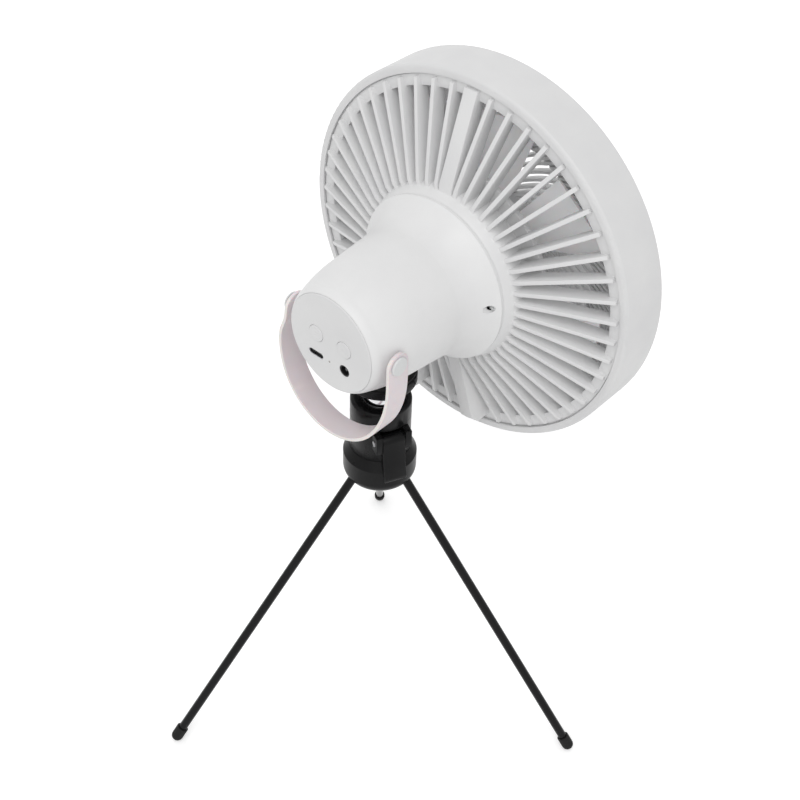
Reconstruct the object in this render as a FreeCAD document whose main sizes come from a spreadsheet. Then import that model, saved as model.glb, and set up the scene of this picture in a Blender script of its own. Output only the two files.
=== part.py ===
import FreeCAD, Part
import math
import os
import Sketcher

Vector = FreeCAD.Vector
Placement = FreeCAD.Placement
Rotation = FreeCAD.Rotation

document = FreeCAD.newDocument("CampingFan")
sheet = document.addObject("Spreadsheet::Sheet", "Sheet")

# Driving sizes in millimetres and degrees.
# The fan axis is level and runs along Y; y is 0 where the ring reaches its full radius, rear is +y.
DIMENSIONS = {
    "ring_radius": 92.5,
    "ring_wall": 2.6,
    "ring_front": -2.5,
    "ring_rear": 24.6,
    "ring_front_round": 2.5,
    "ring_rear_round": 1.7,
    "lip_radius": 88.6,
    "lip_depth": 1.6,
    "seat_gap": 0.2,
    "groove_width": 0.6,
    "flange_inner": 82.8,
    "flange_face": 23.4,
    "flange_depth": 2.4,
    "vane_count": 52,
    "vane_width": 1.9,
    "vane_tip_radius": 87.2,
    "vane_hub_rear": 38.6,
    "vane_tip_rear": 25.4,
    "vane_front_outer": 19.5,
    "vane_front_inner": 29.5,
    "rib_width": 7.0,
    "rib_tip_radius": 84.5,
    "rib_rear": 35.6,
    "hub_radius": 43.6,
    "hub_wall": 2.4,
    "hub_slot_end": 36.5,
    "joint_radius": 40.7,
    "joint_face": 43.0,
    "plate_radius": 51.5,
    "plate_front": 25.0,
    "plate_depth": 2.4,
    "bell_flare_start": 44.6,
    "bell_flare_end": 62.0,
    "bell_flare_radius": 31.8,
    "bell_flare_curve": 28.0,
    "bell_waist": 88.0,
    "bell_waist_radius": 29.7,
    "bell_shoulder": 104.5,
    "bell_shoulder_radius": 26.2,
    "bell_wall": 2.3,
    "bell_end": 109.2,
    "bell_end_radius": 24.1,
    "panel_radius": 23.8,
    "panel_face": 109.8,
    "panel_depth": 2.8,
    "screw_angle": 7.0,
    "screw_circle": 37.0,
    "screw_head_radius": 1.7,
    "screw_shank_radius": 1.25,
    "screw_length": 11.0,
    "button_radius": 4.0,
    "button_gap": 0.15,
    "button_spacing": 8.2,
    "button_height": 1.3,
    "button_proud": 0.3,
    "button_flange": 0.8,
    "socket_spacing": 8.5,
    "socket_height": -10.0,
    "usb_width": 8.9,
    "usb_height": 3.2,
    "usb_wall": 0.35,
    "jack_radius": 2.9,
    "jack_bore": 2.2,
    "jack_pin_radius": 0.65,
    "light_pipe_radius": 0.5,
    "board_radius": 22.5,
    "board_depth": 1.5,
    "cell_radius": 9.2,
    "cell_length": 65.0,
    "cell_spacing": 0.3,
    "cell_front": 36.3,
    "holder_depth": 2.0,
    "impeller_front": 3.6,
    "impeller_rear": 19.0,
    "impeller_hub_radius": 24.0,
    "impeller_hub_wall": 1.8,
    "blade_count": 7,
    "blade_radius": 74.0,
    "blade_thickness": 1.6,
    "blade_span_angle": 35.0,
    "blade_depth": 12.0,
    "blade_tip_round": 9.0,
    "blade_phase": -1.5,
    "shaft_radius": 1.5,
    "bearing_radius": 4.0,
    "bearing_depth": 3.0,
    "stator_radius": 18.0,
    "stator_depth": 9.0,
    "rotor_gap": 0.4,
    "rotor_wall": 1.6,
    "grille_rim_width": 2.4,
    "grille_depth": 2.4,
    "grille_inner_count": 63,
    "grille_ring_radius": 58.0,
    "grille_rib_width": 1.3,
    "grille_rib_depth": 4.0,
    "grille_inner_sweep": 32.0,
    "grille_outer_sweep": 19.0,
    "lamp_radius": 27.5,
    "lamp_rim": 3.0,
    "lamp_depth": 1.6,
    "mount_y": 76.7,
    "boss_radius": 13.0,
    "boss_face": -32.2,
    "insert_radius": 5.0,
    "insert_depth": 9.0,
    "thread_radius": 3.1,
    "thread_gap": 0.08,
    "thread_reach": 6.5,
    "swivel_gap": 0.3,
    "platform_radius": 16.5,
    "pad_depth": 1.5,
    "platform_depth": 5.5,
    "stem_radius": 4.5,
    "ball_radius": 8.0,
    "ball_gap": 0.1,
    "ball_centre": -51.8,
    "barrel_radius": 14.5,
    "barrel_top": -49.7,
    "barrel_mouth_radius": 9.0,
    "barrel_mouth_depth": 0.8,
    "barrel_round": 1.8,
    "seat_bottom": -68.0,
    "barrel_bottom": -79.3,
    "hub_top_radius": 17.7,
    "collar_shoulder": 4.7,
    "collar_bottom": -97.6,
    "collar_edge": 5.0,
    "collar_foot_radius": 15.6,
    "lever_pivot_x": 14.0,
    "lever_angle": -25.0,
    "lever_pivot_z": -66.0,
    "lever_width": 11.0,
    "lever_eye": 3.4,
    "lever_gap": 0.3,
    "lever_tip_z": -87.5,
    "lever_pin_radius": 1.4,
    "lug_width": 17.6,
    "lug_height": 10.0,
    "lug_reach": 17.0,
    "leg_pivot_radius": 9.0,
    "leg_pivot_z": -90.0,
    "leg_spread": 36.1,
    "leg_first_angle": 71.93,
    "leg_radius": 2.2,
    "leg_eye": 3.2,
    "leg_eye_width": 3.8,
    "leg_length": 185.0,
    "leg_gap": 0.35,
    "leg_pin_radius": 1.2,
    "leg_pin_length": 13.0,
    "pin_gap": 0.05,
    "foot_radius": 3.05,
    "foot_length": 8.5,
    "foot_flat": 0.3,
    "strap_y": 100.0,
    "strap_width": 12.0,
    "strap_thickness": 1.5,
    "strap_left_x": 30.8,
    "strap_right_x": 29.9,
    "strap_bottom": -56.8,
    "strap_bulge": 35.3,
    "strap_pin_radius": 2.0,
    "strap_pin_gap": 0.1,
    "strap_head_radius": 4.5,
    "strap_head_depth": 1.0,
    "strap_side_gap": 0.2,
}


class Size:
    """A number that carries the sheet expression it comes from."""

    def __init__(self, value, text=None):
        self.value = float(value)
        self.text = str(value) if text is None else text

    def combine(self, other, sign, value):
        """Join two sizes with a sign and keep both the number and the expression."""
        return Size(value, "(" + self.text + " " + sign + " " + other.text + ")")

    def __add__(self, other):
        other = as_size(other)
        return self.combine(other, "+", self.value + other.value)

    def __sub__(self, other):
        other = as_size(other)
        return self.combine(other, "-", self.value - other.value)

    def __mul__(self, other):
        other = as_size(other)
        return self.combine(other, "*", self.value * other.value)

    def __truediv__(self, other):
        other = as_size(other)
        return self.combine(other, "/", self.value / other.value)

    def __neg__(self):
        return Size(-self.value, "(-1 * " + self.text + ")")

    def __float__(self):
        return self.value


def as_size(number):
    """Turn a plain number into a Size."""
    return number if isinstance(number, Size) else Size(number)


class Sizes:
    """Every sheet cell as an attribute."""


S = Sizes()
for row, (alias, value) in enumerate(DIMENSIONS.items(), start=1):
    sheet.set("A" + str(row), alias)
    sheet.set("B" + str(row), str(value))
    sheet.setAlias("B" + str(row), alias)
    setattr(S, alias, Size(value, "Sheet." + alias))
document.recompute()

ORIGIN = Vector(0, 0, 0)
AXIS_X = Vector(1, 0, 0)
AXIS_Y = Vector(0, 1, 0)
AXIS_Z = Vector(0, 0, 1)
NODES = {}


def keep(label, item):
    """Label a finished sub-part and remember it as a node."""
    item.Label = label
    NODES[label] = item
    return item


def at(x, y, z, rotation=None):
    """A placement at a point."""
    return Placement(Vector(float(x), float(y), float(z)), rotation or Rotation())


def turned(name, outline, axis="Y"):
    """Revolve a closed outline round the Y or the Z axis as a PartDesign body.

    Each corner is (along the axis, radius) for Y and (radius, height) for Z. A third value is the
    radius of the arc to the next corner, positive where its centre is left of the way forward.
    """
    body = document.addObject("PartDesign::Body", name)
    plane_role = "YZ_Plane" if axis == "Y" else "XZ_Plane"
    plane = [item for item in body.Origin.OriginFeatures if item.Role == plane_role][0]
    sketch = body.newObject("Sketcher::SketchObject", name + "_outline")
    sketch.AttachmentSupport = [(plane, "")]
    sketch.MapMode = "FlatFace"
    corners = [tuple(as_size(number) for number in corner) for corner in outline]
    ends = []
    for index, corner in enumerate(corners):
        start = Vector(corner[0].value, corner[1].value, 0)
        following = corners[(index + 1) % len(corners)]
        end = Vector(following[0].value, following[1].value, 0)
        if len(corner) == 2:
            number = sketch.addGeometry(Part.LineSegment(start, end), False)
            ends.append((number, 1, 2))
            continue
        bend = corner[2]
        half = (end - start) / 2
        rise = math.sqrt(max(bend.value ** 2 - half.Length ** 2, 0.0))
        side = Vector(-half.y, half.x, 0).normalize() * math.copysign(rise, bend.value)
        centre = start + half + side
        circle = Part.Circle(centre, AXIS_Z, abs(bend.value))
        first, last = (start, end) if bend.value > 0 else (end, start)
        angles = [math.atan2(point.y - centre.y, point.x - centre.x) for point in (first, last)]
        number = sketch.addGeometry(Part.ArcOfCircle(circle, angles[0], angles[1]), False)
        ends.append((number, 1, 2) if bend.value > 0 else (number, 2, 1))
        limit = sketch.addConstraint(Sketcher.Constraint("Radius", number, abs(bend.value)))
        size = bend if bend.value > 0 else -bend
        sketch.setExpression("Constraints[" + str(limit) + "]", size.text)
    for index, (number, first, last) in enumerate(ends):
        following = ends[(index + 1) % len(ends)]
        sketch.addConstraint(Sketcher.Constraint("Coincident", number, last, following[0], following[1]))
        for kind, size in (("DistanceX", corners[index][0]), ("DistanceY", corners[index][1])):
            limit = sketch.addConstraint(Sketcher.Constraint(kind, number, first, size.value))
            sketch.setExpression("Constraints[" + str(limit) + "]", size.text)
    feature = body.newObject("PartDesign::Revolution", name + "_turn")
    feature.Profile = sketch
    feature.ReferenceAxis = (sketch, ["H_Axis" if axis == "Y" else "V_Axis"])
    feature.Angle = 360
    return body


def cylinder(name, radius, length, placement):
    """A round bar whose sizes follow the sheet."""
    bar = document.addObject("Part::Cylinder", name)
    bar.setExpression("Radius", as_size(radius).text)
    bar.setExpression("Height", as_size(length).text)
    bar.Placement = placement
    return bar


def block(name, length, width, height, placement):
    """A box whose sizes follow the sheet."""
    box = document.addObject("Part::Box", name)
    box.setExpression("Length", as_size(length).text)
    box.setExpression("Width", as_size(width).text)
    box.setExpression("Height", as_size(height).text)
    box.Placement = placement
    return box


def cut(name, base, tools):
    """Take every tool away from the base."""
    joined = tools[0]
    if len(tools) > 1:
        joined = document.addObject("Part::MultiFuse", name + "_tools")
        joined.Shapes = tools
    result = document.addObject("Part::Cut", name)
    result.Base = base
    result.Tool = joined
    return result


def fuse(name, pieces):
    """Join pieces into one solid."""
    result = document.addObject("Part::MultiFuse", name)
    result.Shapes = pieces
    result.Refine = True
    return result


def shaped(name, shape):
    """A sub-part whose shape is built directly from the sheet's sizes."""
    item = document.addObject("Part::Feature", name)
    item.Shape = shape
    return item


def along_y(x, y, z):
    """A placement whose own Z points to the rear."""
    return at(x, y, z, Rotation(AXIS_X, -90))


def prism(points, direction):
    """Extrude a closed polygon."""
    return Part.Face(Part.makePolygon(points + [points[0]])).extrude(direction)


def oblong(width, height, depth, place):
    """A bar of rounded slot section whose depth runs to the rear."""
    end = height / 2
    half = width / 2 - end
    top_left = Vector(-half, 0, end)
    top_right = Vector(half, 0, end)
    low_left = Vector(-half, 0, -end)
    low_right = Vector(half, 0, -end)
    edges = [
        Part.makeLine(top_left, top_right),
        Part.Arc(top_right, Vector(half + end, 0, 0), low_right).toShape(),
        Part.makeLine(low_right, low_left),
        Part.Arc(low_left, Vector(-half - end, 0, 0), top_left).toShape(),
    ]
    bar = Part.Face(Part.Wire(edges)).extrude(Vector(0, depth, 0))
    bar.translate(place)
    return bar




# Ring shell and rear grille
def make_ring_shell():
    """The outer ring with rounded edges and an inner lip at the rear."""
    inner = S.ring_radius - S.ring_wall
    front_edge = S.ring_front + S.ring_front_round
    keep("ring_shell", turned("ring_shell", [
        (S.ring_front, S.ring_radius - S.ring_front_round, -S.ring_front_round),
        (front_edge, S.ring_radius),
        (S.ring_rear - S.ring_rear_round, S.ring_radius, -S.ring_rear_round),
        (S.ring_rear, S.ring_radius - S.ring_rear_round),
        (S.ring_rear, S.lip_radius),
        (S.ring_rear - S.lip_depth, S.lip_radius),
        (S.ring_rear - S.lip_depth, inner),
        (front_edge + S.seat_gap, inner),
        (front_edge + S.seat_gap, S.lip_radius - S.seat_gap),
        (S.ring_front, S.lip_radius - S.seat_gap),
    ]))


def vane_shape(width, outline):
    """A flat vane standing on the fan axis plane, from (y, radius) corners."""
    corners = [Vector(-width / 2, y, radius) for y, radius in outline]
    return prism(corners, Vector(width, 0, 0))


def make_rear_grille():
    """Flange, vanes, three thick ribs, hub cup and motor plate in one moulding."""
    lip_face = S.ring_rear - S.lip_depth - S.seat_gap
    flange = turned("grille_flange", [
        (S.flange_face, S.flange_inner),
        (S.flange_face, S.lip_radius - S.groove_width),
        (lip_face - 0.2, S.lip_radius - S.groove_width),
        (lip_face - 0.2, S.lip_radius),
        (lip_face, S.lip_radius),
        (lip_face, S.ring_radius - S.ring_wall - S.seat_gap),
        (S.flange_face - S.flange_depth, S.ring_radius - S.ring_wall - S.seat_gap),
        (S.flange_face - S.flange_depth, S.flange_inner),
    ])
    plate_rear = S.plate_front + S.plate_depth
    hub = turned("grille_hub", [
        (S.plate_front, S.bearing_radius),
        (S.plate_front, S.plate_radius),
        (plate_rear, S.plate_radius),
        (plate_rear, S.hub_radius),
        (S.hub_slot_end, S.hub_radius),
        (S.joint_face, S.joint_radius),
        (S.joint_face, S.joint_radius - S.hub_wall),
        (S.hub_slot_end, S.hub_radius - S.hub_wall),
        (plate_rear, S.hub_radius - S.hub_wall),
        (plate_rear, S.bearing_radius),
    ])
    document.recompute()
    inner = float(S.hub_radius) - float(S.hub_wall) / 2
    thin_outline = [
        (float(S.vane_front_inner), inner),
        (float(S.vane_hub_rear), inner),
        (float(S.vane_hub_rear), float(S.hub_radius) + 2.0),
        (float(S.vane_tip_rear), float(S.vane_tip_radius)),
        (float(S.flange_face) - float(S.flange_depth) / 2, float(S.vane_tip_radius)),
        (float(S.vane_front_outer), float(S.flange_inner) + 1.0),
    ]
    thin = vane_shape(float(S.vane_width), thin_outline)
    thick = vane_shape(float(S.rib_width), [
        (float(S.vane_front_inner), inner),
        (float(S.vane_hub_rear), inner),
        (float(S.vane_hub_rear), float(S.hub_radius) + 2.0),
        (float(S.rib_rear), float(S.rib_tip_radius) - 4.0),
        (float(S.rib_rear) - 3.5, float(S.rib_tip_radius)),
        (float(S.flange_face) - float(S.flange_depth) / 2, float(S.rib_tip_radius)),
        (float(S.vane_front_outer), float(S.flange_inner) + 1.0),
    ])
    flush = vane_shape(float(S.rib_width), thin_outline)
    count = int(float(S.vane_count))
    tall_places = (count // 2 - 2, count // 2 + 2)
    vanes = []
    for place in range(count):
        vane = (thick if place in tall_places else flush if place == 0 else thin).copy()
        vane.rotate(ORIGIN, AXIS_Y, 360.0 * place / count)
        vanes.append(vane)
    posts = []
    for side in (-1, 1):
        x, z = screw_spot(side)
        start = Vector(x, float(plate_rear) - 1.0, z)
        post = Part.makeCylinder(3.0, float(S.joint_face) - float(plate_rear) + 1.0, start, AXIS_Y)
        posts.append(post)
    envelope = Part.makeCylinder(float(S.joint_radius), float(S.joint_face), ORIGIN, AXIS_Y)
    whole = hub.Shape.multiFuse([flange.Shape] + vanes + [post.common(envelope) for post in posts])
    for side in (-1, 1):
        x, z = screw_spot(side)
        start = Vector(x, float(S.joint_face) - float(S.screw_length), z)
        hole = Part.makeCylinder(float(S.screw_shank_radius), float(S.screw_length) + 1.0, start, AXIS_Y)
        whole = whole.cut(hole)
    keep("rear_grille", shaped("rear_grille", whole.removeSplitter()))


def screw_spot(side):
    """Where a housing screw stands, left (-1) or right (1)."""
    angle = math.radians(float(S.screw_angle))
    radius = float(S.screw_circle)
    return side * radius * math.cos(angle), radius * math.sin(angle)


# Housing behind the grille
def make_housing():
    """The bell-shaped housing with its screw bosses, mounting boss and pin holes."""
    start = S.joint_face + 0.1
    wall = S.bell_wall
    ledge = S.panel_face - S.panel_depth - 0.1
    bell = turned("bell", [
        (start, S.joint_radius),
        (S.bell_flare_start, S.joint_radius, S.bell_flare_curve),
        (S.bell_flare_end, S.bell_flare_radius),
        (S.bell_waist, S.bell_waist_radius, Size(-80)),
        (S.bell_shoulder, S.bell_shoulder_radius, Size(-10)),
        (S.bell_end, S.bell_end_radius),
        (S.bell_end, S.panel_radius + 0.1),
        (ledge, S.panel_radius + 0.1),
        (ledge, S.panel_radius - 1.6),
        (ledge - 1.5, S.panel_radius - 1.6),
        (ledge - 1.5, S.bell_shoulder_radius - wall),
        (S.bell_waist, S.bell_waist_radius - wall),
        (S.bell_flare_end, S.bell_flare_radius - wall),
        (S.bell_flare_start + 7, S.bell_flare_radius + 0.7),
        (S.bell_flare_start + 2, S.joint_radius - wall - 2),
        (start, S.joint_radius - wall),
    ])
    pieces = [bell]
    tools = []
    boss_inside = S.boss_face + S.insert_depth
    pieces.append(cylinder("mount_boss", S.boss_radius, Size(4.6), at(0, S.mount_y, S.boss_face)))
    pieces.append(cylinder("insert_boss", S.insert_radius + 2, S.insert_depth, at(0, S.mount_y, S.boss_face)))
    tools.append(cylinder("insert_hole", S.insert_radius, S.insert_depth + 1, at(0, S.mount_y, S.boss_face - 0.5)))
    for side in (-1, 1):
        x, z = screw_spot(side)
        tag = "_left" if side < 0 else "_right"
        pieces.append(cylinder("screw_boss" + tag, Size(3.0), Size(1.9), along_y(x, start, z)))
        tools.append(cylinder("screw_way" + tag, S.screw_shank_radius, Size(4), along_y(x, start - 1, z)))
        head = S.joint_face + 2
        tools.append(cylinder("screw_sink" + tag, S.screw_head_radius + S.button_gap, Size(6), along_y(x, head, z)))
        turn = Rotation(AXIS_Y, 90 * side)
        inside = S.bell_waist_radius - wall - 2.5
        tools.append(cylinder("pin_hole" + tag, S.strap_pin_radius, Size(8), at(side * float(inside), S.strap_y, 0, turn)))
    keep("motor_housing", cut("motor_housing", fuse("housing_solid", pieces), tools))
    sleeve = cylinder("insert_sleeve", S.insert_radius, S.insert_depth, at(0, S.mount_y, S.boss_face))
    bore_radius = S.thread_radius + S.thread_gap
    bore = cylinder("insert_bore", bore_radius, S.insert_depth + 1, at(0, S.mount_y, S.boss_face - 0.5))
    keep("threaded_insert", cut("threaded_insert", sleeve, [bore]))
    for side in (-1, 1):
        x, z = screw_spot(side)
        tag = "_left" if side < 0 else "_right"
        head_y = S.joint_face + 2
        shank_length = S.screw_length - 0.5
        shank = cylinder("shank" + tag, S.screw_shank_radius, shank_length, along_y(x, head_y - shank_length, z))
        head = cylinder("head" + tag, S.screw_head_radius, Size(1.5), along_y(x, head_y, z))
        recess = block("recess" + tag, 2.4, 0.8, 0.5, at(x - 1.2, float(head_y) + 1.0, z - 0.25))
        keep("housing_screw" + tag, cut("housing_screw" + tag, fuse("screw_solid" + tag, [shank, head]), [recess]))


def make_end_panel():
    """The end disc with its two buttons, two sockets and status light."""
    back = S.panel_face - S.panel_depth
    disc = turned("panel_disc", [
        (back, Size(0)),
        (back, S.panel_radius),
        (S.panel_face - 0.5, S.panel_radius, Size(-0.5)),
        (S.panel_face, S.panel_radius - 0.5),
        (S.panel_face, Size(0)),
    ])
    through = S.panel_depth + 2
    tools = []
    for side, name in ((1, "fan_button"), (-1, "light_button")):
        place = along_y(side * float(S.button_spacing), back - 1, S.button_height)
        tools.append(cylinder(name + "_hole", S.button_radius + S.button_gap, through, place))
        front = back - S.button_gap
        face = S.panel_face + S.button_proud
        skirt = S.button_radius + 0.8
        button = turned(name, [
            (front - S.button_flange, Size(0)),
            (front - S.button_flange, skirt),
            (front, skirt),
            (front, S.button_radius),
            (face - 0.3, S.button_radius, Size(-0.3)),
            (face, S.button_radius - 0.3),
            (face, Size(0)),
        ])
        button.Placement = at(side * float(S.button_spacing), 0, S.button_height)
        keep(name, button)
    jack_place = along_y(-S.socket_spacing, back - 1, S.socket_height)
    tools.append(cylinder("jack_hole", S.jack_radius, through, jack_place))
    pipe_place = along_y(0.4, back - 1, S.socket_height)
    tools.append(cylinder("pipe_hole", S.light_pipe_radius, through, pipe_place))
    usb_place = Vector(float(S.socket_spacing), float(back) - 1, float(S.socket_height))
    width = float(S.usb_width)
    height = float(S.usb_height)
    tools.append(shaped("usb_hole", oblong(width, height, float(through), usb_place)))
    keep("end_panel", cut("end_panel", disc, tools))
    board_face = board_front() + S.board_depth
    depth = float(S.panel_face - 0.2 - board_face)
    usb_start = Vector(float(S.socket_spacing), float(board_face), float(S.socket_height))
    wall = float(S.usb_wall)
    shell = oblong(width, height, depth, usb_start)
    floor = 0.6
    inner_start = usb_start + Vector(0, floor, 0)
    hollow = oblong(width - 2 * wall, height - 2 * wall, depth, inner_start)
    keep("usb_c_shell", shaped("usb_c_shell", shell.cut(hollow)))
    tongue = Part.makeBox(width - 2.2, depth - floor - 0.6, 0.7)
    tongue.translate(inner_start + Vector(1.1 - width / 2, 0, -0.35))
    keep("usb_c_tongue", shaped("usb_c_tongue", tongue))
    jack_depth = S.panel_face - 0.3 - board_face
    jack = turned("dc_jack", [
        (board_face, Size(0)),
        (board_face, S.jack_radius),
        (board_face + jack_depth, S.jack_radius),
        (board_face + jack_depth, S.jack_bore),
        (board_face + 0.8, S.jack_bore),
        (board_face + 0.8, Size(0)),
    ])
    jack.Placement = at(-S.socket_spacing, 0, S.socket_height)
    keep("dc_jack", jack)
    pin_place = along_y(-S.socket_spacing, board_face + 0.8, S.socket_height)
    keep("dc_pin", cylinder("dc_pin", S.jack_pin_radius, jack_depth - 1.8, pin_place))
    pipe = cylinder("status_light", S.light_pipe_radius, S.panel_face - board_face, along_y(0.4, board_face, S.socket_height))
    keep("status_light", pipe)


def board_front():
    """The face of the control board that lies on the rear battery holder."""
    return S.cell_front + S.cell_length + S.holder_depth


def make_electronics():
    """Three cells between two holders, and the control board."""
    circle = (float(S.cell_radius) + float(S.cell_spacing) / 2) / math.sin(math.radians(60))
    for number in (1, 2, 3):
        angle = math.radians(90 + 120 * number)
        x = circle * math.cos(angle)
        z = circle * math.sin(angle)
        name = "battery_cell_" + str(number)
        keep(name, cylinder(name, S.cell_radius, S.cell_length, along_y(x, S.cell_front, z)))
    seat = S.cell_front - S.holder_depth
    skirt = S.cell_radius * 2 + S.cell_spacing + 3.5
    keep("front_battery_holder", turned("front_battery_holder", [
        (seat, Size(0)),
        (seat, skirt - 2),
        (S.plate_front + S.plate_depth, skirt - 2),
        (S.plate_front + S.plate_depth, skirt),
        (S.cell_front, skirt),
        (S.cell_front, Size(0)),
    ]))
    rear = S.cell_front + S.cell_length
    keep("rear_battery_holder", cylinder("rear_battery_holder", S.bell_shoulder_radius - S.bell_wall - S.seat_gap,
                                         S.holder_depth, along_y(0, rear, 0)))
    keep("control_board", cylinder("control_board", S.board_radius, S.board_depth, along_y(0, board_front(), 0)))


# Motor, impeller and front grille
def make_motor():
    """Stator and bearing on the motor plate; rotor cup and shaft turn with the impeller."""
    plate = S.plate_front
    cup_front = S.impeller_front + S.impeller_hub_wall
    rotor_inner = S.stator_radius + S.rotor_gap
    keep("shaft_bearing", turned("shaft_bearing", [
        (plate - 0.6, S.shaft_radius + S.pin_gap),
        (plate - 0.6, S.bearing_radius),
        (plate - 0.6 + S.bearing_depth, S.bearing_radius),
        (plate - 0.6 + S.bearing_depth, S.shaft_radius + S.pin_gap),
    ]))
    keep("motor_stator", turned("motor_stator", [
        (plate - S.stator_depth - 2, S.bearing_radius + 1),
        (plate - S.stator_depth - 2, S.stator_radius),
        (plate - 2, S.stator_radius),
        (plate - 2, S.bearing_radius + 5),
        (plate, S.bearing_radius + 5),
        (plate, S.bearing_radius + 1),
    ]))
    keep("rotor_cup", turned("rotor_cup", [
        (cup_front, S.shaft_radius),
        (cup_front, rotor_inner + S.rotor_wall),
        (plate - 4, rotor_inner + S.rotor_wall),
        (plate - 4, rotor_inner),
        (cup_front + S.rotor_wall, rotor_inner),
        (cup_front + S.rotor_wall, S.shaft_radius),
    ]))
    shaft_length = plate + S.plate_depth - cup_front
    keep("motor_shaft", cylinder("motor_shaft", S.shaft_radius, shaft_length, along_y(0, cup_front, 0)))


def blade_section(radius, pitch_angle, thickness):
    """A slim cambered section across the blade at one radius, centred over +Z."""
    width = 2 * radius * math.sin(math.radians(float(S.blade_span_angle) / 2)) / math.cos(pitch_angle)
    middle_y = (float(S.impeller_front) + float(S.impeller_rear)) / 2
    camber = width * 0.07

    def place(along, off):
        x = along * math.cos(pitch_angle) - off * math.sin(pitch_angle)
        y = along * math.sin(pitch_angle) + off * math.cos(pitch_angle)
        return Vector(x, middle_y + y, radius)

    half = width / 2
    near = [place(-half, 0.3), place(0, camber + thickness / 2), place(half, 0.3)]
    far = [place(half, -0.3), place(0, camber - thickness / 2), place(-half, -0.3)]
    edges = [
        Part.Arc(near[0], near[1], near[2]).toShape(),
        Part.makeLine(near[2], far[0]),
        Part.Arc(far[0], far[1], far[2]).toShape(),
        Part.makeLine(far[2], near[0]),
    ]
    return Part.Wire(edges)


def make_impeller():
    """A hub cup with wide swept blades."""
    hub = turned("impeller_hub", [
        (S.impeller_front, Size(0)),
        (S.impeller_front, S.impeller_hub_radius - 2, Size(-2)),
        (S.impeller_front + 2, S.impeller_hub_radius),
        (S.impeller_rear, S.impeller_hub_radius),
        (S.impeller_rear, S.impeller_hub_radius - S.impeller_hub_wall),
        (S.impeller_front + S.impeller_hub_wall, S.impeller_hub_radius - S.impeller_hub_wall),
        (S.impeller_front + S.impeller_hub_wall, Size(0)),
    ])
    document.recompute()
    tip = float(S.blade_radius)
    root = float(S.impeller_hub_radius) - float(S.impeller_hub_wall) / 2
    depth = float(S.blade_depth)
    wires = []
    for step in range(4):
        radius = root * 0.85 + (tip + 1 - root * 0.85) * step / 3
        chord = 2 * radius * math.sin(math.radians(float(S.blade_span_angle) / 2))
        wires.append(blade_section(radius, math.atan2(depth, chord), float(S.blade_thickness)))
    blade = Part.makeLoft(wires, True, False)
    round_off = float(S.blade_tip_round)
    half_angle = math.radians(float(S.blade_span_angle) / 2)
    spin = Part.makeCylinder(tip, 40, Vector(0, -10, 0), AXIS_Y)
    core = Part.makeCylinder(root, 60, Vector(0, -20, 0), AXIS_Y)
    blade = blade.common(spin).cut(core)
    for side in (-1, 1):
        x = side * tip * math.sin(half_angle)
        z = tip * math.cos(half_angle)
        corner = Vector(x, -10, z)
        inward = Vector(-side * 0.8, 0, -0.6) * round_off
        keep_round = Part.makeCylinder(round_off, 40, corner + inward + Vector(side * 1.0, 0, -1.0), AXIS_Y)
        box = prism([
            corner + Vector(side * 12, 0, 12),
            corner + Vector(side * 12, 0, -round_off * 0.9),
            corner + inward * 0.9,
            corner + Vector(-side * round_off * 1.1, 0, 12),
        ], Vector(0, 40, 0))
        blade = blade.cut(box.cut(keep_round))
    blades = []
    count = int(float(S.blade_count))
    for number in range(count):
        copy = blade.copy()
        copy.rotate(ORIGIN, AXIS_Y, 360.0 * number / count + float(S.blade_phase))
        blades.append(copy)
    keep("impeller", shaped("impeller", hub.Shape.multiFuse(blades).removeSplitter()))


def swept_ribs(count, start_radius, end_radius, sweep_angle):
    """A round of curved ribs between two radii of the front grille."""
    front = float(S.ring_front)
    half = float(S.grille_rib_width) / 2
    sweep = -math.radians(sweep_angle)
    radii = (start_radius, (start_radius + end_radius) / 2, end_radius)
    turns = (0.0, sweep * 0.56, sweep)

    def side_points(turn, sign):
        points = []
        for radius, part in zip(radii, turns):
            angle = turn + part + sign * half / radius * 1.25
            points.append(Vector(radius * math.sin(angle), front, radius * math.cos(angle)))
        return points

    ribs = []
    for number in range(count):
        turn = 2 * math.pi * number / count
        one = side_points(turn, -1)
        two = side_points(turn, 1)
        edges = [
            Part.Arc(one[0], one[1], one[2]).toShape(),
            Part.makeLine(one[2], two[2]),
            Part.Arc(two[2], two[1], two[0]).toShape(),
            Part.makeLine(two[0], one[0]),
        ]
        ribs.append(Part.Face(Part.Wire(edges)).extrude(Vector(0, float(S.grille_rib_depth), 0)))
    return ribs


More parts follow.
